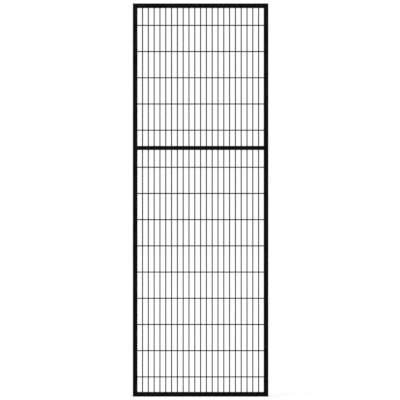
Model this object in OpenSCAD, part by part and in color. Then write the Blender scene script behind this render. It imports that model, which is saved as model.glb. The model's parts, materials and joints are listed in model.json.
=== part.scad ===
// Machine guard fence panel.
// A frame of square steel tube with mitred corners, one slimmer cross rail, and two
// sheets of resistance-welded wire mesh that fill the openings above and below the rail.
// Every wire stands square on the tube wall that it meets, and a small weld holds its end.
//
// X runs across the panel, Y through its depth with the front at -Y, and Z up. The origin
// is on the left stile's outer face, at mid depth, level with the panel's lower edge.

/* [Panel] */
// Width over the stiles' outer faces
panel_w = 724; // [300:1:1200]
// Height over the top and bottom rails' outer faces
panel_h = 2100; // [1900:1:2500]
// Clear height from the bottom rail up to the cross rail
lower_clear_h = 1292; // [500:1:1500]

/* [Frame tube] */
// Side of the square tube that makes the stiles and the top and bottom rails
frame_side = 25; // [24:0.5:40]
// Wall of the frame tube
frame_wall = 1.5; // [1:0.1:2.5]
// Radius inside the frame tube's corners
frame_inner_r = 1; // [0.5:0.1:2]

/* [Cross rail tube] */
// Side of the square tube that makes the cross rail
cross_side = 22; // [18:0.5:24]
// Wall of the cross rail tube
cross_wall = 1.5; // [1:0.1:2]
// Radius inside the cross rail tube's corners
cross_inner_r = 1; // [0.5:0.1:2]

/* [Mesh] */
// Diameter of the wire, kept across the flats of its eight-sided bar
wire_d = 6; // [3:0.1:6.5]
// Spacing of the upright wires, centre to centre
upright_pitch = 31; // [20:0.5:60]
// Least distance from a stile to the nearest upright wire's centre
upright_margin = 16; // [12:0.5:25]
// Spacing of the level wires, centre to centre
level_pitch = 140; // [60:1:200]
// Distance from the rail above a sheet down to its first level wire's centre
level_drop = 92; // [30:1:120]
// Least distance from a sheet's last level wire's centre down to the rail below
level_margin = 40; // [15:1:75]
// Depth to which two wires are pressed into each other where they are welded
set_down = 0.6; // [0.2:0.1:1]

/* [Welds] */
// Leg of the fillet weld inside each corner of the frame
corner_weld_leg = 2; // [1.5:0.5:5]
// Leg of the welds round each end of the cross rail
cross_weld_leg = 2; // [1.5:0.5:5]
// How far the welds in front of and behind the cross rail stay inside the frame's depth
groove_clear = 0.3; // [0.1:0.1:0.4]
// Height of the weld round a wire's end, measured along the wire
tack_h = 2; // [1:0.1:3]
// How far that weld spreads from the wire's corners where it lies on the tube
tack_spread = 1.5; // [0.5:0.1:2]
// How far that weld still stands out from the wire's corners at its other end
tack_lip = 0.3; // [0.1:0.1:0.4]

/* [Hidden] */

coat_colour = [0.07, 0.09, 0.08];
weld_colour = [0.10, 0.12, 0.11];

round_fn = 48;      // sides that a preview draws on a round edge
wire_sides = 8;     // flats round a wire
cut_over = 1;       // how far a cutter runs past what it cuts

// The space inside the frame
inner_left = frame_side;
clear_w = panel_w - 2 * frame_side;

// The two openings, as the level of their lower edge and their clear height
lower_z = frame_side;
cross_rail_z = lower_z + lower_clear_h;
upper_z = cross_rail_z + cross_side;
upper_clear_h = panel_h - frame_side - upper_z;

// A wire's corners lie on this radius when its flats are wire_d apart
wire_corner_r = wire_d / 2 / cos(180 / wire_sides);
// The upright wires lie in front of the level ones, sunk into them by set_down
upright_y = -(wire_d - set_down) / 2;
level_y = (wire_d - set_down) / 2;

// How many wires fit into a clear length, apart from the margins kept at its ends
function wire_count(clear, pitch, margins) = floor((clear - margins) / pitch) + 1;

// The upright wires are centred across the opening, and both sheets share their places
upright_count = wire_count(clear_w, upright_pitch, 2 * upright_margin);
upright_x = [
    for (i = [0 : upright_count - 1])
        panel_w / 2 + (i - (upright_count - 1) / 2) * upright_pitch
];

// Levels of the level wires in an opening, from the top one down
function level_z(z, clear_h) = [
    for (i = [0 : wire_count(clear_h, level_pitch, level_drop + level_margin) - 1])
        z + clear_h - level_drop - i * level_pitch
];

// Width of the flat between a square tube's rounded corners
function flat_width(side, wall, inner_r) = side - 2 * (inner_r + wall);

// How far a stile's rounded edge lies back from its inner face, at a distance from mid depth
function edge_fall(depth) =
    let (
        r = frame_inner_r + frame_wall,
        past = depth - flat_width(frame_side, frame_wall, frame_inner_r) / 2
    )
    past > 0 ? r - sqrt(r * r - past * past) : 0;

// ---- Placing ----

// Moves what is at the panel's left side to its right side, as its mirror image
module across() {
    translate([panel_w, 0, 0])
        mirror([1, 0, 0])
            children();
}

// Moves what is at the frame's bottom to its top, as its mirror image
module overhead() {
    translate([0, 0, panel_h])
        mirror([0, 0, 1])
            children();
}

// Puts its children at the foot of each upright wire, at the level z
module at_uprights(z) {
    for (x = upright_x)
        translate([x, upright_y, z])
            children();
}

// Puts its children at the left end of each level wire of an opening, turned along X
module at_levels(z, clear_h) {
    for (wire_z = level_z(z, clear_h))
        translate([inner_left, level_y, wire_z])
            rotate([0, 90, 0])
                children();
}

// ---- Tubes ----

// A square with round corners, centred on the origin
module rounded_square(side, r) {
    square([side, side - 2 * r], center = true);
    square([side - 2 * r, side], center = true);
    for (x = [-1, 1], y = [-1, 1])
        translate([x, y] * (side / 2 - r))
            circle(r = r, $fn = round_fn);
}

// Cross-section of a cold-formed square tube, whose wall keeps one thickness all round
module tube_section(side, wall, inner_r) {
    difference() {
        rounded_square(side, inner_r + wall);
        rounded_square(side - 2 * wall, inner_r);
    }
}

// What a mitre takes off a frame tube's lower end, rising at 45 degrees from its -X face
module mitre_waste() {
    reach = frame_side * sqrt(2) + 2 * cut_over;
    translate([-frame_side / 2, 0, 0])
        rotate([0, -45, 0])
            translate([-cut_over, -reach / 2, -reach])
                cube(reach);
}

// A frame tube that stands on Z and keeps its full length on its -X face
module mitred_tube(length) {
    difference() {
        linear_extrude(length)
            tube_section(frame_side, frame_wall, frame_inner_r);
        mitre_waste();
        translate([0, 0, length])
            mirror([0, 0, 1])
                mitre_waste();
    }
}

module left_stile() {
    color(coat_colour)
        translate([frame_side / 2, 0, 0])
            mitred_tube(panel_h);
}

module right_stile() {
    across() left_stile();
}

module bottom_rail() {
    color(coat_colour)
        translate([panel_w, 0, frame_side / 2])
            rotate([0, -90, 0])
                mitred_tube(panel_w);
}

module top_rail() {
    overhead() bottom_rail();
}

// The cross rail is cut square and stands between the stiles, at mid depth
module cross_rail() {
    color(coat_colour)
        translate([inner_left, 0, cross_rail_z + cross_side / 2])
            rotate([0, 90, 0])
                linear_extrude(clear_w)
                    tube_section(cross_side, cross_wall, cross_inner_r);
}

// ---- Mesh ----

// A wire that stands on Z, with its flats square to X and Y
module wire(length) {
    rotate([0, 0, 180 / wire_sides])
        cylinder(h = length, r = wire_corner_r, $fn = wire_sides);
}

// One sheet of mesh, its wires fused where they cross, filling an opening edge to edge
module mesh_sheet(z, clear_h) {
    color(coat_colour)
        union() {
            at_uprights(z) wire(clear_h);
            at_levels(z, clear_h) wire(clear_w);
        }
}

module upper_mesh() mesh_sheet(upper_z, upper_clear_h);
module lower_mesh() mesh_sheet(lower_z, lower_clear_h);

// ---- Frame welds ----

// Section of a fillet weld, its legs on the axes and its face slightly full
module fillet_section(leg) {
    intersection() {
        square(leg);
        translate([-leg, -leg])
            circle(r = leg * sqrt(5), $fn = round_fn);
    }
}

// A fillet weld along Y, in the corner between a wall at its -X side and a floor under it
module fillet_weld(leg, length) {
    color(weld_colour)
        rotate([90, 0, 0])
            linear_extrude(length, center = true)
                fillet_section(leg);
}

// The corner welds run over the flat of the frame tube
module bottom_left_corner_weld() {
    translate([inner_left, 0, lower_z])
        fillet_weld(corner_weld_leg, flat_width(frame_side, frame_wall, frame_inner_r));
}

module bottom_right_corner_weld() across() bottom_left_corner_weld();
module top_left_corner_weld() overhead() bottom_left_corner_weld();
module top_right_corner_weld() overhead() bottom_right_corner_weld();

// Plan of the weld in the groove between the cross rail's back and the left stile's rounded
// edge, from the stile's inner face. Its toe stays inside the frame's depth
module groove_section() {
    rail_back = cross_side / 2;
    toe = min(rail_back + cross_weld_leg, frame_side / 2 - groove_clear);
    difference() {
        polygon([
            [-frame_side / 2, rail_back],
            [cross_weld_leg, rail_back],
            [-edge_fall(toe), toe],
            [-frame_side / 2, toe]
        ]);
        translate([-frame_side / 2, 0])
            rounded_square(frame_side, frame_inner_r + frame_wall);
    }
}

// A weld that stands in that groove, centred on the cross rail's height
module groove_weld(length) {
    color(weld_colour)
        linear_extrude(length, center = true)
            groove_section();
}

// One weld on each side of the cross rail's end, over the flat of its tube
module cross_rail_left_welds() {
    length = flat_width(cross_side, cross_wall, cross_inner_r);
    for (up = [0, 1])
        translate([inner_left, 0, cross_rail_z + up * cross_side])
            mirror([0, 0, 1 - up])
                fillet_weld(cross_weld_leg, length);
    for (back = [0, 1])
        translate([inner_left, 0, cross_rail_z + cross_side / 2])
            mirror([0, 1 - back, 0])
                groove_weld(length);
}

module cross_rail_right_welds() across() cross_rail_left_welds();

// ---- Welds round the wires' ends ----

// The weld at the foot of a wire that stands on Z, a collar that fits the wire's flats
module tack() {
    color(weld_colour)
        difference() {
            cylinder(
                h = tack_h,
                r1 = wire_corner_r + tack_spread,
                r2 = wire_corner_r + tack_lip,
                $fn = round_fn
            );
            translate([0, 0, -cut_over])
                wire(tack_h + 2 * cut_over);
        }
}

module bottom_tacks(z) {
    at_uprights(z) tack();
}

module top_tacks(z) {
    at_uprights(z)
        mirror([0, 0, 1])
            tack();
}

module left_tacks(z, clear_h) {
    at_levels(z, clear_h) tack();
}

module upper_mesh_top_tacks() top_tacks(upper_z + upper_clear_h);
module upper_mesh_bottom_tacks() bottom_tacks(upper_z);
module upper_mesh_left_tacks() left_tacks(upper_z, upper_clear_h);
module upper_mesh_right_tacks() across() upper_mesh_left_tacks();

module lower_mesh_top_tacks() top_tacks(lower_z + lower_clear_h);
module lower_mesh_bottom_tacks() bottom_tacks(lower_z);
module lower_mesh_left_tacks() left_tacks(lower_z, lower_clear_h);
module lower_mesh_right_tacks() across() lower_mesh_left_tacks();

// ---- Output ----

left_stile();
right_stile();
top_rail();
bottom_rail();
cross_rail();
upper_mesh();
lower_mesh();
top_left_corner_weld();
top_right_corner_weld();
bottom_left_corner_weld();
bottom_right_corner_weld();
cross_rail_left_welds();
cross_rail_right_welds();
upper_mesh_top_tacks();
upper_mesh_bottom_tacks();
upper_mesh_left_tacks();
upper_mesh_right_tacks();
lower_mesh_top_tacks();
lower_mesh_bottom_tacks();
lower_mesh_left_tacks();
lower_mesh_right_tacks();
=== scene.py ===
"""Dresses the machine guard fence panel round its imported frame.

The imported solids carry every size. The five tubes keep their solids and get their powder coat.
Round drawn wire, resistance weld nuggets and rippled weld beads take the place of the
eight-sided bars, plain collars and plain fillets that stand for them in the solids.
"""

from __future__ import annotations

import json
import logging
import math
import random
from collections.abc import Iterable, Sequence
from dataclasses import dataclass
from enum import Enum
from typing import Any, ClassVar

import bmesh
import bpy
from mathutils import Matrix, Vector

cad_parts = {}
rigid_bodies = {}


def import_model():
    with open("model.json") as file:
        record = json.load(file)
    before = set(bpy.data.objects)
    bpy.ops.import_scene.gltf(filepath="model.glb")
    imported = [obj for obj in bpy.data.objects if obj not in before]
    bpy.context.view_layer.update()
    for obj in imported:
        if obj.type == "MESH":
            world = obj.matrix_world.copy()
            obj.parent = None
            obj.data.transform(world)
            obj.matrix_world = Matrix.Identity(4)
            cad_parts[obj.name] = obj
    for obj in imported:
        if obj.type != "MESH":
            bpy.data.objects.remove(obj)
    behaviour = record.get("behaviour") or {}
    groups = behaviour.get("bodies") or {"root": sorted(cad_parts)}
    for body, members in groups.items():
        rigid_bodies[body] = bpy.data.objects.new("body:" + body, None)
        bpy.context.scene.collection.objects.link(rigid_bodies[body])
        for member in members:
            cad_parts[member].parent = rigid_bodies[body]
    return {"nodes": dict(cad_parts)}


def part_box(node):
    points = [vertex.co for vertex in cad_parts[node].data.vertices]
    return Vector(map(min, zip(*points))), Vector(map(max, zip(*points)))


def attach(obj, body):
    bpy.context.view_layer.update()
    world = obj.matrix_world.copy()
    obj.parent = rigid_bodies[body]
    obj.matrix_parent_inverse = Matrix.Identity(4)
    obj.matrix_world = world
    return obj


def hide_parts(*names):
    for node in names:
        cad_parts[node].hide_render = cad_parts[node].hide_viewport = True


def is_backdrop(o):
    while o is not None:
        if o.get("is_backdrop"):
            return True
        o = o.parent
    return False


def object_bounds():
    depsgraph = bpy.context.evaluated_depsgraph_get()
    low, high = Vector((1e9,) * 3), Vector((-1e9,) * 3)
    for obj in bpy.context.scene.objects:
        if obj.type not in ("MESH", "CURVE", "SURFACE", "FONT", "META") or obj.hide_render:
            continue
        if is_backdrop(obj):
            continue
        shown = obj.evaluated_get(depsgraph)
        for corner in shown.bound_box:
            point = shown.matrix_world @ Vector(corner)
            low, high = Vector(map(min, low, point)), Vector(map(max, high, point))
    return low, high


LOG = logging.getLogger("fence_panel")
MM = 0.001
TURN = 2 * math.pi
BODY = "root"
# Edges that turn more than this stay sharp where a piece is shaded smooth
SHARP_DEG = 50.0

Ring = list[Vector]


class Slot(Enum):
    """The record's material slots."""

    TUBE = "frame_tube"
    WIRE = "mesh_wire"
    WELD = "weld"


class Run(Enum):
    """Which way a wire runs."""

    UPRIGHT = "upright"
    LEVEL = "level"


class Side(Enum):
    """A side of the panel, by the sign of its direction along X or Z."""

    LOW = -1
    HIGH = 1


# ---- Small tools ----


def linear(hex_colour: str) -> tuple[float, float, float, float]:
    """Turn an sRGB hex value into the linear colour that a shader takes.

    Args:
        hex_colour: Six hex digits, such as "0a0d0b".

    Returns:
        Linear red, green and blue, and an alpha of 1.
    """
    shares = [int(hex_colour[i : i + 2], 16) / 255 for i in (0, 2, 4)]
    red, green, blue = (c / 12.92 if c <= 0.04045 else ((c + 0.055) / 1.055) ** 2.4 for c in shares)
    return red, green, blue, 1.0


def socket(sockets: Any, key: str | int) -> bpy.types.NodeSocket:
    """Find one of a node's sockets.

    Args:
        sockets: The node's inputs or outputs.
        key: The socket's name, of which the first that is in use counts, or its place.

    Returns:
        The socket.
    """
    if isinstance(key, int):
        return sockets[key]
    return next(s for s in sockets if s.name == key and s.enabled)


def add_node(
    tree: bpy.types.NodeTree,
    kind: str,
    settings: dict[str | int, Any] | None = None,
    links: dict[str | int, bpy.types.NodeSocket] | None = None,
    out: str | int = 0,
) -> bpy.types.NodeSocket:
    """Add a node with its settings and links.

    Args:
        tree: The node tree that takes the node.
        kind: The node's type, without its "ShaderNode".
        settings: Values for the node's own properties, by name, and for its inputs, by name or place.
        links: What each linked input is fed from.
        out: The output that is wanted.

    Returns:
        That output, or the node's first input where the node has no output.
    """
    node = tree.nodes.new("ShaderNode" + kind)
    for key, value in (settings or {}).items():
        if isinstance(key, str) and hasattr(node, key):
            setattr(node, key, value)
        else:
            socket(node.inputs, key).default_value = value
    for key, source in (links or {}).items():
        tree.links.new(source, socket(node.inputs, key))
    return socket(node.outputs, out) if node.outputs else node.inputs[0]


def mean_places(values: Iterable[float], gap: float) -> tuple[float, ...]:
    """Find the middles of groups of numbers.

    Args:
        values: The numbers, in any order.
        gap: The least distance between two groups.

    Returns:
        The middle of each group's range, from the lowest group up.
    """
    groups: list[list[float]] = []
    for value in sorted(values):
        if not groups or value - groups[-1][-1] > gap:
            groups.append([])
        groups[-1].append(value)
    return tuple((group[0] + group[-1]) / 2 for group in groups)


class Shape:
    """A mesh that grows by lofted rings, and then becomes a piece of the panel."""

    def __init__(self) -> None:
        """Start with an empty mesh."""
        self.mesh = bmesh.new()

    def loft(self, rings: Sequence[Ring], endless: bool = False) -> None:
        """Skin a row of rings that have equally many points.

        Args:
            rings: The rings, in order.
            endless: Whether the last ring joins the first. If not, a face closes each end.
        """
        rows = [[self.mesh.verts.new(point) for point in ring] for ring in rings]
        count = len(rows[0])
        pairs = list(zip(rows, rows[1:]))
        if endless:
            pairs.append((rows[-1], rows[0]))
        for here, there in pairs:
            for i in range(count):
                j = (i + 1) % count
                self.mesh.faces.new((here[i], here[j], there[j], there[i]))
        if not endless:
            self.mesh.faces.new(rows[0][::-1])
            self.mesh.faces.new(rows[-1])

    def finish(
        self, name: str, coat: bpy.types.Material, replaced: Sequence[str]
    ) -> bpy.types.Object:
        """Turn the mesh into a smooth-shaded piece that rides on the panel.

        Args:
            name: The piece's name.
            coat: Its material.
            replaced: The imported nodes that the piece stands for.

        Returns:
            The piece.
        """
        bmesh.ops.recalc_face_normals(self.mesh, faces=self.mesh.faces)
        data = bpy.data.meshes.new(name)
        self.mesh.to_mesh(data)
        self.mesh.free()
        data.shade_smooth()
        data.set_sharp_from_angle(angle=math.radians(SHARP_DEG))
        data.materials.append(coat)
        piece = bpy.data.objects.new(name, data)
        bpy.context.scene.collection.objects.link(piece)
        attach(piece, BODY)
        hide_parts(*replaced)
        return piece


# ---- Finish ----


@dataclass(frozen=True)
class MitreSeams:
    """The frame's four mitres, welded, ground flush and coated over.

    Under the coat the eye still finds a hairline at 45 degrees, in a band that the grinder
    left a little smoother than the tube's own skin.
    """

    width: float
    height: float
    hairline_mm: float = 0.8
    sink_mm: float = 0.12
    ground_mm: float = 7.0
    # How softly each band ends: 0 is the crispest, and 1 fades it from its middle outward
    hairline_fade: float = 1.0
    ground_fade: float = 0.4

    def build(
        self, tree: bpy.types.NodeTree, place: bpy.types.NodeSocket
    ) -> tuple[bpy.types.NodeSocket, bpy.types.NodeSocket]:
        """Add the nodes that find the seams.

        Args:
            tree: The coat's node tree.
            place: The point on the frame, in metres.

        Returns:
            How far the surface sinks at a seam, in metres, and a mask that is 1 in the ground band.
        """
        axes = {key: add_node(tree, "SeparateXYZ", links={"Vector": place}, out=key) for key in ("X", "Z")}
        from_edge = []
        for key, length in (("X", self.width), ("Z", self.height)):
            rest = add_node(tree, "Math", {"operation": "SUBTRACT", 0: length}, {1: axes[key]})
            from_edge.append(add_node(tree, "Math", {"operation": "MINIMUM"}, {0: axes[key], 1: rest}))
        across = add_node(tree, "Math", {"operation": "SUBTRACT"}, {0: from_edge[0], 1: from_edge[1]})
        away = add_node(tree, "Math", {"operation": "ABSOLUTE"}, {0: across})
        masks = []
        for band_mm, fade in ((self.hairline_mm, self.hairline_fade), (self.ground_mm, self.ground_fade)):
            # On a 45 degree seam the two distances differ by root 2 times the distance from it
            spans = {
                "From Min": band_mm / 2 * (1 - fade) * MM,
                "From Max": band_mm / 2 * math.sqrt(2) * MM,
                "To Min": 1.0,
                "To Max": 0.0,
            }
            masks.append(
                add_node(tree, "MapRange", {"interpolation_type": "SMOOTHSTEP"} | spans, {"Value": away})
            )
        sink = add_node(tree, "Math", {"operation": "MULTIPLY", 1: -self.sink_mm * MM}, {0: masks[0]})
        return sink, masks[1]


@dataclass(frozen=True)
class PowderCoat:
    """Black polyester powder coat, sprayed on steel and baked into a satin film.

    The film is a clear-surfaced resin over a nearly black body. It gives the eye a deep black
    face, a soft sheen opposite a light, brighter rims at grazing angles, and orange peel.
    """

    name: str
    colour: str = "040b06"
    thin_colour: str = "070f09"
    ior: float = 1.5
    roughness: float = 0.34
    roughness_spread: float = 0.05
    peel_mm: float = 1.8
    peel_depth_mm: float = 0.05
    # Real film thickness drifts over a hand's width. It is drawn a little stronger than real, so
    # that a tube seen whole isn't one flat tone.
    drift_mm: float = 70.0
    # Orange peel is about 2 mm from swell to swell, too fine to show on a whole panel, so a
    # second layer is drawn this coarse.
    swell_mm: float = 11.0
    swell_depth_mm: float = 0.05
    # The stretches of the drift noise over which the gloss and the colour change
    gloss_span: tuple[float, float] = (0.3, 0.7)
    colour_span: tuple[float, float] = (0.35, 0.65)
    seams: MitreSeams | None = None

    def build(self) -> bpy.types.Material:
        """Make the material.

        Returns:
            The material, with all its nodes.
        """
        material = bpy.data.materials.new(self.name)
        material.use_nodes = True
        tree = material.node_tree
        tree.nodes.clear()
        place = add_node(tree, "TexCoord", out="Object")
        drift, peel, swell = (
            add_node(
                tree,
                "TexNoise",
                {"Scale": 1 / (size * MM), "Detail": detail, "Roughness": 0.5},
                {"Vector": place},
            )
            for size, detail in ((self.drift_mm, 2.0), (self.peel_mm, 1.0), (self.swell_mm, 1.0))
        )
        height = self._relief(tree, peel, self.peel_depth_mm, None)
        height = self._relief(tree, swell, self.swell_depth_mm, height)
        roughness = add_node(
            tree,
            "MapRange",
            {
                "From Min": self.gloss_span[0],
                "From Max": self.gloss_span[1],
                "To Min": self.roughness - self.roughness_spread,
                "To Max": self.roughness + self.roughness_spread,
            },
            {"Value": drift},
        )
        if self.seams:
            sink, ground = self.seams.build(tree, place)
            height = add_node(tree, "Math", {"operation": "ADD"}, {0: height, 1: sink})
            smoother = add_node(
                tree, "Math", {"operation": "MULTIPLY", 1: -self.roughness_spread}, {0: ground}
            )
            roughness = add_node(tree, "Math", {"operation": "ADD"}, {0: roughness, 1: smoother})
        thinness = add_node(
            tree,
            "MapRange",
            {"From Min": self.colour_span[0], "From Max": self.colour_span[1]},
            {"Value": drift},
        )
        colour = add_node(
            tree,
            "Mix",
            {"data_type": "RGBA", "A": linear(self.colour), "B": linear(self.thin_colour)},
            {"Factor": thinness},
            out="Result",
        )
        normal = add_node(tree, "Bump", {"Strength": 1.0, "Distance": 1.0}, {"Height": height})
        surface = add_node(
            tree,
            "BsdfPrincipled",
            {"IOR": self.ior, "Metallic": 0.0},
            {"Base Color": colour, "Roughness": roughness, "Normal": normal},
        )
        add_node(tree, "OutputMaterial", links={"Surface": surface})
        return material

    @staticmethod
    def _relief(
        tree: bpy.types.NodeTree,
        noise: bpy.types.NodeSocket,
        depth_mm: float,
        under: bpy.types.NodeSocket | None,
    ) -> bpy.types.NodeSocket:
        """Turn a noise into a height and lay it on what lies under it.

        Args:
            tree: The coat's node tree.
            noise: A noise from 0 to 1.
            depth_mm: The height from its lowest to its highest point.
            under: The height so far, if there is one.

        Returns:
            The height in metres.
        """
        height = add_node(tree, "Math", {"operation": "MULTIPLY", 1: depth_mm * MM}, {0: noise})
        if under is None:
            return height
        return add_node(tree, "Math", {"operation": "ADD"}, {0: under, 1: height})


# ---- Tubes ----


@dataclass(frozen=True)
class FrameTubes:
    """The stiles and rails, cut from square tube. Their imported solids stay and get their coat."""

    nodes: tuple[str, ...] = ("left_stile", "right_stile", "top_rail", "bottom_rail", "cross_rail")

    def dress(
        self, solids: dict[str, bpy.types.Object], coat: bpy.types.Material
    ) -> list[bpy.types.Object]:
        """Give each tube its coat.

        Args:
            solids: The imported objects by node.
            coat: The tubes' material.

        Returns:
            The tubes.
        """
        tubes = [solids[node] for node in self.nodes]
        for tube in tubes:
            for slot in tube.material_slots:
                slot.material = coat
        return tubes


# ---- Mesh ----


@dataclass(frozen=True)
class Wire:
    """One length of drawn wire, a little flattened where the welding electrodes pressed on it."""

    run: Run
    start: Vector
    length: float
    radius: float
    # Where an electrode pressed, as distances from the start
    presses: tuple[float, ...]
    sides: int = 16
    press_depth_mm: float = 0.3
    press_half_mm: float = 3.6
    press_steps: int = 3

    def rings(self) -> list[Ring]:
        """Work out the wire's cross-sections.

        Returns:
            One ring at each end and a few over each pressed place.
        """
        reach = self.press_half_mm * MM
        steps = range(-self.press_steps, self.press_steps + 1)
        places = [(0.0, 0.0), (self.length, 0.0)]
        for press in self.presses:
            for step in steps:
                share = step / self.press_steps
                depth = self.press_depth_mm * MM * (0.5 + 0.5 * math.cos(math.pi * share))
                places.append((press + share * reach, depth))
        return [self._ring(along, depth) for along, depth in sorted(places)]

    def _ring(self, along: float, depth: float) -> Ring:
        """Work out one cross-section.

        Args:
            along: Its distance from the wire's start.
            depth: How far the electrode pressed the wire in there.

        Returns:
            The ring's points.
        """
        # The other wire lies behind an upright one and in front of a level one
        outward = -1 if self.run is Run.UPRIGHT else 1
        ring = []
        for i in range(self.sides):
            angle = TURN * i / self.sides
            aside = self.radius * math.cos(angle)
            out = min(self.radius * math.sin(angle), self.radius - depth)
            if self.run is Run.UPRIGHT:
                offset = Vector((aside, outward * out, along))
            else:
                offset = Vector((along, outward * out, aside))
            ring.append(self.start + offset)
        return ring


@dataclass(frozen=True)
class Nugget:
    """The metal that resistance welding squeezes out between two crossing wires."""

    centre: Vector
    wire_r: float
    axes_apart: float
    dice: random.Random
    sides: int = 24
    # How far it reaches on a wire, across it and along it, as shares of the wire's radius
    across: float = 0.9
    along: float = 1.3
    # The most that a nugget which has grown reaches across
    most_across: float = 0.95
    # How far its edges sink into the wires' skins
    sink_mm: float = 0.12
    # 0 leaves a sharp groove between the wires and 1 fills it straight from edge to edge
    fullness: float = 0.45
    steps: tuple[float, ...] = (0.0, 0.12, 0.3, 0.5, 0.7, 0.88, 1.0)
    # The least and the most that a nugget has of that size
    sizes: tuple[float, float] = (0.9, 1.05)
    # The least and the most by which its larger side outgrows that
    leans: tuple[float, float] = (0.0, 0.14)

    def rings(self) -> list[Ring]:
        """Work out a ring-shaped fillet, a little larger at one side.

        Returns:
            Its rings, from the upright wire's skin to the level wire's.
        """
        size = self.dice.uniform(*self.sizes)
        lean, way = self.dice.uniform(*self.leans), self.dice.uniform(0, TURN)
        profiles = []
        for i in range(self.sides):
            angle = TURN * i / self.sides
            profiles.append(self._profile(angle, size * (1 + lean * math.cos(angle - way))))
        return [list(ring) for ring in zip(*profiles)]

    def _profile(self, angle: float, size: float) -> list[Vector]:
        """Work out the fillet's face in one direction from the weld's centre.

        Args:
            angle: The direction, from the level wire's round to the upright wire's.
            size: The fillet's size there, as a share of the full one.

        Returns:
            The face's points, from the upright wire to the level one.
        """
        right, up = math.cos(angle), math.sin(angle)
        half, sink = self.axes_apart / 2, self.sink_mm * MM
        across = min(self.across * size, self.most_across) * self.wire_r
        along = self.along * size * self.wire_r
        on_upright = Vector((across * right, self._skin(across * right) - half - sink, along * up))
        on_level = Vector((along * right, half - self._skin(across * up) + sink, across * up))
        # The wires' skins meet at this distance from the centre
        overlap = self.wire_r**2 - half**2
        skew = overlap * (math.cos(2 * angle) / self.axes_apart) ** 2
        meet = math.sqrt(2 * overlap / (0.5 + math.sqrt(0.25 + skew)))
        groove = Vector((meet * right, self._skin(meet * right) - half, meet * up))
        pull = groove.lerp((on_upright + on_level) / 2, self.fullness)
        return [
            self.centre + on_upright * (1 - t) ** 2 + pull * 2 * t * (1 - t) + on_level * t**2
            for t in self.steps
        ]

    def _skin(self, aside: float) -> float:
        """How far a wire's skin lies from its axis, seen this far aside of it."""
        return math.sqrt(self.wire_r**2 - aside**2)


@dataclass(frozen=True)
class EndWeld:
    """The small weld round a wire's end, where it stands on a tube's wall."""

    foot: Vector
    up: Vector
    wire_r: float
    dice: random.Random
    sides: int = 20
    # Height over the tube and distance from the wire's skin, from the toe to the wire
    profile_mm: tuple[tuple[float, float], ...] = (
        (-0.10, 1.45),
        (0.06, 1.45),
        (0.24, 1.28),
        (0.48, 0.92),
        (0.82, 0.56),
        (1.22, 0.30),
        (1.62, 0.12),
        (1.98, 0.02),
        (2.10, -0.20),
    )
    # The least and the most that a weld has of that size
    sizes: tuple[float, float] = (0.8, 0.96)
    # The least and the most by which its larger side outgrows that
    lopsides: tuple[float, float] = (0.05, 0.25)
    # How many lobes a weld has, and how far they stand out, as a share of its spread
    lobes: int = 3
    lobe_size: float = 0.09

    def rings(self) -> list[Ring]:
        """Work out the weld's rings, each a little out of round.

        Returns:
            The rings, from the tube's wall up.
        """
        aside = Vector((0, 1, 0))
        across = self.up.cross(aside)
        start, tilt = self.dice.uniform(0, TURN), self.dice.uniform(0, TURN)
        size, lopsided = self.dice.uniform(*self.sizes), self.dice.uniform(*self.lopsides)
        rings = []
        for height, spread in self.profile_mm:
            ring = []
            for i in range(self.sides):
                angle = TURN * i / self.sides
                lump = 1 + lopsided * math.sin(angle + tilt)
                lump += self.lobe_size * math.sin(self.lobes * angle + start)
                reach = self.wire_r + spread * MM * size * (lump if spread > 0 else 1)
                rise = height * MM * (1 + lopsided * math.sin(angle + tilt) * (height > 0))
                round_way = math.cos(angle) * across + math.sin(angle) * aside
                ring.append(self.foot + reach * round_way + rise * self.up)
            rings.append(ring)
        return rings


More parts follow.
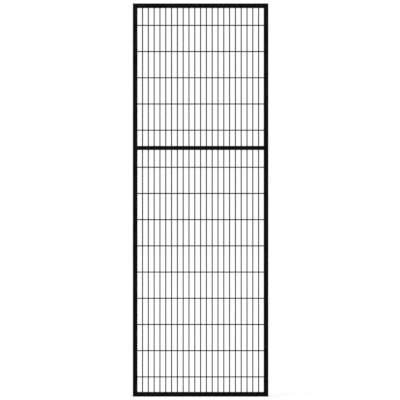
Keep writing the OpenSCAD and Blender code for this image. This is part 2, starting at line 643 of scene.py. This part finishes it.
@dataclass(frozen=True)
class MeshSheet:
    """One sheet of welded wire mesh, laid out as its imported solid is."""

    name: str
    low: Vector
    high: Vector
    wire_r: float
    upright_x: tuple[float, ...]
    level_z: tuple[float, ...]

    @classmethod
    def read(cls, solids: dict[str, bpy.types.Object], name: str) -> MeshSheet:
        """Read from a packed sheet where its wires run.

        Args:
            solids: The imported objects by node.
            name: The sheet's node.

        Returns:
            The sheet.
        """
        low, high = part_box(name)
        points = [vertex.co for vertex in solids[name].data.vertices]
        near, apart = 0.01 * MM, 10 * MM
        feet = [point for point in points if point.z < low.z + near]
        ends = [point for point in points if point.x < low.x + near]
        upright_x = mean_places((point.x for point in feet), apart)
        level_z = mean_places((point.z for point in ends), apart)
        first_wire = [point.x for point in feet if point.x < upright_x[0] + apart]
        return cls(name, low, high, (max(first_wire) - min(first_wire)) / 2, upright_x, level_z)

    @property
    def upright_y(self) -> float:
        """The depth at which the upright wires' centres lie."""
        return self.low.y + self.wire_r

    @property
    def level_y(self) -> float:
        """The depth at which the level wires' centres lie."""
        return self.high.y - self.wire_r

    def wires(self) -> list[Wire]:
        """Lay out the wires.

        Returns:
            The upright wires and then the level ones.
        """
        at_levels = tuple(z - self.low.z for z in self.level_z)
        at_uprights = tuple(x - self.low.x for x in self.upright_x)
        size = self.high - self.low
        uprights = [
            Wire(Run.UPRIGHT, Vector((x, self.upright_y, self.low.z)), size.z, self.wire_r, at_levels)
            for x in self.upright_x
        ]
        levels = [
            Wire(Run.LEVEL, Vector((self.low.x, self.level_y, z)), size.x, self.wire_r, at_uprights)
            for z in self.level_z
        ]
        return uprights + levels

    def end_welds(self, dice: random.Random) -> list[EndWeld]:
        """Lay out the welds round the wires' ends.

        Args:
            dice: Gives each weld its own unevenness.

        Returns:
            The welds at the bottom, the top, the left and the right.
        """
        up, right = Vector((0, 0, 1)), Vector((1, 0, 0))
        feet = [(Vector((x, self.upright_y, self.low.z)), up) for x in self.upright_x]
        heads = [(Vector((x, self.upright_y, self.high.z)), -up) for x in self.upright_x]
        lefts = [(Vector((self.low.x, self.level_y, z)), right) for z in self.level_z]
        rights = [(Vector((self.high.x, self.level_y, z)), -right) for z in self.level_z]
        return [EndWeld(foot, way, self.wire_r, dice) for foot, way in feet + heads + lefts + rights]

    def nuggets(self, dice: random.Random) -> list[Nugget]:
        """Lay out the weld nuggets.

        Args:
            dice: Gives each nugget its own unevenness.

        Returns:
            One nugget for each place where two wires cross.
        """
        y, apart = (self.upright_y + self.level_y) / 2, self.level_y - self.upright_y
        return [
            Nugget(Vector((x, y, z)), self.wire_r, apart, dice)
            for x in self.upright_x
            for z in self.level_z
        ]

    def build(self, coat: bpy.types.Material, weld_coat: bpy.types.Material) -> list[bpy.types.Object]:
        """Build the sheet and its welds.

        Args:
            coat: The wires' material.
            weld_coat: The welds' material.

        Returns:
            The wires, the nuggets and the end welds, each as one piece.
        """
        dice = random.Random(self.name)
        tacks = [f"{self.name}_{edge}_tacks" for edge in ("top", "bottom", "left", "right")]
        parts = (
            ("wires", self.wires(), coat, Slot.WIRE, [self.name]),
            ("nuggets", self.nuggets(dice), weld_coat, Slot.WELD, []),
            ("end_welds", self.end_welds(dice), weld_coat, Slot.WELD, tacks),
        )
        pieces = []
        for part, members, material, slot, replaced in parts:
            shape = Shape()
            for member in members:
                shape.loft(member.rings())
            pieces.append(shape.finish(f"{self.name}_{part}", material, replaced))
        return pieces


# ---- Weld beads ----


@dataclass(frozen=True)
class Ripple:
    """The overlapping scales that a weld pool leaves on a bead, each a little unlike the next."""

    length: float
    sizes: tuple[float, ...]
    depths: tuple[float, ...]
    # Where the waves in the bead's width start
    starts: tuple[float, ...]
    pitch_mm: ClassVar[float] = 1.3
    depth_mm: ClassVar[float] = 0.2
    # The least and the most that a scale keeps of that pitch and of that depth
    pitch_range: ClassVar[tuple[float, float]] = (0.8, 1.2)
    depth_range: ClassVar[tuple[float, float]] = (0.6, 1.2)
    # How far a scale's toes trail its middle, in scales
    bow: ClassVar[float] = 0.8
    # Over 1, a scale rises slowly and drops fast, as it lies on the one before it
    skew: ClassVar[float] = 1.6
    steps: ClassVar[int] = 6
    # The bead's mean width, and the waves in it: how many along the bead, and how strong
    mean_width: ClassVar[float] = 0.96
    waves: ClassVar[tuple[tuple[int, float], ...]] = ((2, 0.025), (5, 0.015))

    @classmethod
    def lay(cls, length: float, seed: str) -> Ripple:
        """Lay out a bead's scales.

        Args:
            length: The bead's length.
            seed: Sets this bead's own unevenness.

        Returns:
            The scales.
        """
        dice = random.Random(seed)
        count = max(2, round(length / (cls.pitch_mm * MM)))
        shares = [dice.uniform(*cls.pitch_range) for _ in range(count)]
        sizes = tuple(length * share / sum(shares) for share in shares)
        depths = tuple(cls.depth_mm * MM * dice.uniform(*cls.depth_range) for _ in range(count))
        starts = tuple(dice.uniform(0, TURN) for _ in cls.waves)
        return cls(length, sizes, depths, starts)

    def places(self) -> list[float]:
        """Space the bead's cross-sections so that each scale gets the same few.

        Returns:
            Distances along the bead, from 0 to its length.
        """
        places = [0.0]
        for size in self.sizes:
            start = places[-1]
            places += [start + size * step / self.steps for step in range(1, self.steps + 1)]
        return places

    def height(self, along: float, across: float) -> float:
        """Work out how far the bead's face stands out at a place.

        Args:
            along: Distance along the bead.
            across: Place across the bead's face, from 0 at one toe to 1 at the other.

        Returns:
            The height, which is 0 in the valleys and at the toes.
        """
        middle = 1 - (2 * across - 1) ** 2
        along -= self.bow * self.pitch_mm * MM * (1 - middle)
        along %= self.length
        for size, depth in zip(self.sizes, self.depths):
            if along <= size:
                return depth * middle * math.sin(math.pi * (along / size) ** self.skew)
            along -= size
        return 0.0

    def width(self, along: float) -> float:
        """Work out how wide the bead is at a place.

        Args:
            along: Distance along the bead.

        Returns:
            The width, as a share of the bead's full leg.
        """
        turn = TURN * along / self.length
        share = self.mean_width
        for (count, strength), start in zip(self.waves, self.starts):
            share += strength * math.sin(count * turn + start)
        return share


@dataclass(frozen=True)
class CornerBead:
    """The fillet weld inside one corner of the frame, run from front to back."""

    node: str
    side_x: Side
    side_z: Side
    face_steps: int = 8
    # How far the bead's root lies under the two skins
    root_mm: float = 0.3
    # How far the face stands out from a straight one, as a share of the leg
    crown: float = 0.08
    # The bead grows from this share of its size to all of it over the tail's length
    end_share: float = 0.4
    tail_mm: float = 2.0

    def build(self, coat: bpy.types.Material) -> bpy.types.Object:
        """Build the bead.

        Args:
            coat: Its material.

        Returns:
            The bead.
        """
        low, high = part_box(self.node)
        # The corner that the bead fills is the one that faces away from the opening
        corner = Vector(
            (
                low.x if self.side_x is Side.LOW else high.x,
                low.y,
                low.z if self.side_z is Side.LOW else high.z,
            )
        )
        leg = high.x - low.x
        ripple = Ripple.lay(high.y - low.y, self.node)
        shape = Shape()
        shape.loft([self._ring(corner, along, leg, ripple) for along in ripple.places()])
        return shape.finish(f"{self.node}_bead", coat, (self.node,))

    def _ring(self, corner: Vector, along: float, leg: float, ripple: Ripple) -> Ring:
        """Work out one cross-section.

        Args:
            corner: The front end of the line where the two tubes meet.
            along: Distance from there.
            leg: The bead's leg at its full size.
            ripple: The bead's scales.

        Returns:
            The ring, from the root round the face.
        """
        to_end = min(1.0, max(0.0, min(along, ripple.length - along) / (self.tail_mm * MM)))
        grown = self.end_share + (1 - self.end_share) * math.sqrt(to_end * (2 - to_end))
        grown *= ripple.width(along)
        root = self.root_mm * MM
        flat = [(-root, -root)]
        for i in range(self.face_steps + 1):
            across = i / self.face_steps
            bulge = self.crown * leg * math.sin(math.pi * across) + ripple.height(along, across)
            # A straight face from toe to toe, with the crown and the ripple standing on it
            x = leg * (1 - across) * grown + bulge * math.sqrt(0.5) * grown
            z = leg * across * grown + bulge * math.sqrt(0.5) * grown
            flat.append((x if across < 1 else -root, z if across > 0 else -root))
        return [
            corner + Vector((-self.side_x.value * x, along, -self.side_z.value * z)) for x, z in flat
        ]


@dataclass(frozen=True)
class RailBead:
    """The weld that runs all round one end of the cross rail."""

    node: str
    rail: str
    stile: str
    side: Side
    # Outer radius of both tubes' corners
    corner_r_mm: float = 2.5
    face_steps: int = 7
    # How far the bead's root lies under the two skins
    root_mm: float = 0.3
    # How far the face stands out from a straight one, as a share of its rise
    crown: float = 0.1

    def build(self, coat: bpy.types.Material) -> bpy.types.Object:
        """Build the bead.

        Args:
            coat: Its material.

        Returns:
            The bead.
        """
        rail_low, rail_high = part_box(self.rail)
        weld_low, weld_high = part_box(self.node)
        _, stile_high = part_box(self.stile)
        start_x = rail_low.x if self.side is Side.LOW else rail_high.x
        middle = Vector((start_x, (rail_low.y + rail_high.y) / 2, (rail_low.z + rail_high.z) / 2))
        half = (rail_high.z - rail_low.z) / 2
        leg = max(abs(weld_low.x - start_x), abs(weld_high.x - start_x))
        room = weld_high.y - rail_high.y
        ripple = Ripple.lay(self._perimeter_length(half), self.node)
        shape = Shape()
        rings = [
            self._ring(middle, along, half, (leg, room), stile_high.y, ripple)
            for along in ripple.places()[:-1]
        ]
        shape.loft(rings, endless=True)
        return shape.finish(f"{self.node}_bead", coat, (self.node,))

    def _perimeter_length(self, half: float) -> float:
        """The distance round the rail's skin, for half its side."""
        return 8 * (half - self.corner_r_mm * MM) + TURN * self.corner_r_mm * MM

    def _on_perimeter(self, along: float, half: float) -> tuple[Vector, Vector]:
        """Find a place on the rail's skin.

        Args:
            along: Distance round the skin from the middle of the front.
            half: Half of the rail's side.

        Returns:
            The place and the outward normal there, as offsets in the plane across the rail.
        """
        radius = self.corner_r_mm * MM
        flat = 2 * (half - radius)
        arc = TURN * radius / 4
        along += flat / 2
        quarter = int(along // (flat + arc)) % 4
        rest = along % (flat + arc)
        if rest < flat:
            point, angle = Vector((0, -half, rest - flat / 2)), 0.0
            normal = Vector((0, -1, 0))
        else:
            angle = (rest - flat) / radius
            normal = Vector((0, -math.cos(angle), math.sin(angle)))
            point = Vector((0, -flat / 2, flat / 2)) + radius * normal
        turn = quarter * math.pi / 2
        for vector in (point, normal):
            y, z = vector.y, vector.z
            vector.y = y * math.cos(turn) + z * math.sin(turn)
            vector.z = z * math.cos(turn) - y * math.sin(turn)
        return point, normal

    def _seat(self, depth: float, half_depth: float) -> float:
        """Work out how far the stile's rounded edge falls back from its flat.

        Args:
            depth: The place, from the middle of the stile's depth.
            half_depth: Half of the stile's side.

        Returns:
            The distance, which is 0 over the flat itself.
        """
        radius = self.corner_r_mm * MM
        past = abs(depth) - (half_depth - radius)
        if past <= 0:
            return 0.0
        return radius - math.sqrt(max(0.0, radius * radius - past * past))

    def _ring(
        self,
        middle: Vector,
        along: float,
        half: float,
        legs: tuple[float, float],
        half_depth: float,
        ripple: Ripple,
    ) -> Ring:
        """Work out one cross-section, square to the rail's skin.

        Args:
            middle: The centre of the rail's end.
            along: Distance round the rail's skin.
            half: Half of the rail's side.
            legs: The bead's leg, and how far it may rise in front of the rail and behind it.
            half_depth: Half of the stile's side.
            ripple: The bead's scales.

        Returns:
            The ring, from the root round the face.
        """
        point, normal = self._on_perimeter(along, half)
        leg, room = (length * ripple.width(along) for length in legs)
        rise = leg + (room - leg) * normal.y**2
        away = -self.side.value
        root = self.root_mm * MM
        toe_fall = self._seat(point.y + rise * normal.y, half_depth)
        ring = [middle + point - root * normal + Vector((-away * (toe_fall + root), 0, 0))]
        for i in range(self.face_steps + 1):
            across = i / self.face_steps
            bulge = self.crown * rise * math.sin(math.pi * across)
            bulge += ripple.height(along, across) * rise / leg
            run = leg * (1 - across) - toe_fall * across + bulge
            lift = rise * across + bulge * (1 - across)
            if across == 0:
                lift = -root
            if across == 1:
                run = -toe_fall - root
            ring.append(middle + point + lift * normal + Vector((away * run, 0, 0)))
        return ring


# ---- Studio ----


@dataclass(frozen=True)
class Lamp:
    """A large, distant soft light."""

    name: str
    azimuth_deg: float
    elevation_deg: float
    strength: float
    spread_deg: float = 35.0

    def build(self) -> None:
        """Hang the lamp. Azimuth 0 is in front of the panel, and 90 at its right."""
        azimuth, elevation = math.radians(self.azimuth_deg), math.radians(self.elevation_deg)
        towards = Vector(
            (
                math.sin(azimuth) * math.cos(elevation),
                -math.cos(azimuth) * math.cos(elevation),
                math.sin(elevation),
            )
        )
        data = bpy.data.lights.new(self.name, "SUN")
        data.energy = self.strength
        data.angle = math.radians(self.spread_deg)
        lamp = bpy.data.objects.new(self.name, data)
        lamp.rotation_euler = towards.to_track_quat("Z", "Y").to_euler()
        bpy.context.scene.collection.objects.link(lamp)


@dataclass(frozen=True)
class Studio:
    """A white cyclorama behind the panel, a dim room in front of it, and soft lamps."""

    lamps: tuple[Lamp, ...] = (
        Lamp("key", -50, 50, 2.2),
        Lamp("fill", 60, 45, 1.6),
        Lamp("back_left", -140, 45, 0.9),
        Lamp("back_right", 140, 45, 0.9),
    )
    # How bright the dim room looks where the panel's gloss mirrors it
    mirrored_room: float = 0.02
    # Where that room has turned white behind the panel: straight back in the sky, and on the
    # floor this many metres back
    sky_white_at: float = 1.0
    floor_white_at: float = 3.0
    # How much light the surroundings shed, apart from the lamps
    ambient: float = 0.16
    # The share of the floor's look that is lit by the lamps, and so shows the shadow
    floor_share: float = 0.4
    floor_colour: str = "e2e2e2"
    # Half of the floor's side, in metres
    floor_half: float = 60.0

    def build(self) -> None:
        """Set up the lamps, the surroundings and the floor."""
        for lamp in self.lamps:
            lamp.build()
        self._surroundings()
        self._floor()

    def _seen_level(
        self, tree: bpy.types.NodeTree, depth: bpy.types.NodeSocket, full_at: float
    ) -> tuple[bpy.types.NodeSocket, bpy.types.NodeSocket]:
        """Work out how bright the backdrop looks along a ray.

        Args:
            tree: The node tree of the world or the floor.
            depth: How far back the ray meets it.
            full_at: The depth from which it is white in the panel's gloss.

        Returns:
            The brightness, 1 for a camera ray, and whether the ray sees the backdrop at all or
            only carries light.
        """
        seen = add_node(tree, "LightPath", out="Is Camera Ray")
        glossy = add_node(tree, "LightPath", out="Is Glossy Ray")
        through = add_node(tree, "LightPath", out="Is Transmission Ray")
        mirrored = add_node(tree, "Math", {"operation": "MAXIMUM"}, {0: glossy, 1: through})
        level = add_node(
            tree,
            "MapRange",
            {
                "interpolation_type": "SMOOTHSTEP",
                "From Min": 0.0,
                "From Max": full_at,
                "To Min": self.mirrored_room,
                "To Max": 1.0,
            },
            {"Value": depth},
        )
        level = add_node(tree, "Math", {"operation": "MAXIMUM"}, {0: level, 1: seen})
        looks = add_node(tree, "Math", {"operation": "MAXIMUM"}, {0: seen, 1: mirrored})
        return level, looks

    def _surroundings(self) -> None:
        """Make the world: white wherever it is seen, and white behind the panel in its gloss."""
        world = bpy.data.worlds.new("studio")
        bpy.context.scene.world = world
        world.use_nodes = True
        tree = world.node_tree
        tree.nodes.clear()
        way = add_node(tree, "TexCoord", out="Generated")
        depth = add_node(tree, "SeparateXYZ", links={"Vector": way}, out="Y")
        level, looks = self._seen_level(tree, depth, self.sky_white_at)
        shown = add_node(tree, "Background", {"Color": linear("ffffff")}, {"Strength": level})
        light = add_node(tree, "Background", {"Color": linear("ffffff"), "Strength": self.ambient})
        mixed = add_node(tree, "MixShader", links={"Fac": looks, 1: light, 2: shown})
        add_node(tree, "OutputWorld", links={"Surface": mixed})

    def _floor(self) -> None:
        """Lay a plain pale floor, which runs out to white and keeps the panel's soft shadow."""
        half = self.floor_half
        data = bpy.data.meshes.new("floor")
        data.from_pydata(
            [(-half, -half, 0), (half, -half, 0), (half, half, 0), (-half, half, 0)], [], [(0, 1, 2, 3)]
        )
        material = bpy.data.materials.new("matt_white_floor")
        material.use_nodes = True
        tree = material.node_tree
        tree.nodes.clear()
        place = add_node(tree, "NewGeometry", out="Position")
        depth = add_node(tree, "SeparateXYZ", links={"Vector": place}, out="Y")
        level, looks = self._seen_level(tree, depth, self.floor_white_at)
        shown = add_node(tree, "LightPath", out="Is Camera Ray")
        lit = add_node(tree, "Math", {"operation": "MULTIPLY", 1: self.floor_share}, {0: shown})
        share = add_node(tree, "Math", {"operation": "SUBTRACT"}, {0: looks, 1: lit})
        matt = add_node(tree, "BsdfDiffuse", {"Color": linear(self.floor_colour)})
        glow = add_node(tree, "Emission", {"Color": linear("ffffff")}, {"Strength": level})
        mixed = add_node(tree, "MixShader", links={"Fac": share, 1: matt, 2: glow})
        add_node(tree, "OutputMaterial", links={"Surface": mixed})
        data.materials.append(material)
        floor = bpy.data.objects.new("floor", data)
        bpy.context.scene.collection.objects.link(floor)
        floor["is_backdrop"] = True


@dataclass(frozen=True)
class Viewpoint:
    """A long lens, level and square on to the panel's front."""

    lens_mm: float = 400.0
    sensor_mm: float = 36.0
    # The view is square, and the panel's height takes up this share of it
    height_share: float = 0.9833
    # How far left of the panel's centre the lens looks
    aim_left_mm: float = 3.1
    # How far the camera sees, in metres
    sight: float = 200.0

    def build(self, low: Vector, high: Vector) -> None:
        """Set up the camera.

        Args:
            low: The panel's lowest corner.
            high: The panel's highest corner.
        """
        distance = (high.z - low.z) / self.height_share * self.lens_mm / self.sensor_mm
        data = bpy.data.cameras.new("camera")
        data.lens = self.lens_mm
        data.sensor_width = self.sensor_mm
        data.clip_end = self.sight
        camera = bpy.data.objects.new("camera", data)
        middle = (low + high) / 2
        camera.location = (middle.x - self.aim_left_mm * MM, low.y - distance, middle.z)
        camera.rotation_euler = (math.pi / 2, 0, 0)
        bpy.context.scene.collection.objects.link(camera)
        bpy.context.scene.camera = camera


def report(pieces: Iterable[bpy.types.Object]) -> None:
    """Log each piece with its size.

    Args:
        pieces: The finished pieces.
    """
    for piece in pieces:
        size = ", ".join(f"{side / MM:.1f}" for side in piece.dimensions)
        LOG.info("%s: %d faces, %s mm", piece.name, len(piece.data.polygons), size)


def main() -> None:
    """Build the panel's looks, its studio and its camera."""
    logging.basicConfig(level=logging.INFO, format="%(name)s %(message)s")
    for stray in list(bpy.data.objects):
        bpy.data.objects.remove(stray)
    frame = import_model()
    cad_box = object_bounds()
    low, high = cad_box
    solids = frame["nodes"]

    Viewpoint().build(low, high)
    Studio().build()

    seams = MitreSeams(high.x - low.x, high.z - low.z)
    tube_coat = PowderCoat("powder_coat_on_tube", seams=seams).build()
    wire_coat = PowderCoat("powder_coat_on_wire", swell_depth_mm=0.02).build()
    weld_coat = PowderCoat("powder_coat_on_weld", roughness=0.33, peel_depth_mm=0.07).build()

    report(FrameTubes().dress(solids, tube_coat))
    for name in ("upper_mesh", "lower_mesh"):
        report(MeshSheet.read(solids, name).build(wire_coat, weld_coat))
    for side_x, across in ((Side.LOW, "left"), (Side.HIGH, "right")):
        for side_z, edge in ((Side.LOW, "bottom"), (Side.HIGH, "top")):
            report([CornerBead(f"{edge}_{across}_corner_weld", side_x, side_z).build(weld_coat)])
        node = f"cross_rail_{across}_welds"
        report([RailBead(node, "cross_rail", f"{across}_stile", side_x).build(weld_coat)])

    bpy.context.scene.view_settings.view_transform = "Standard"


if __name__ == "__main__":
    main()
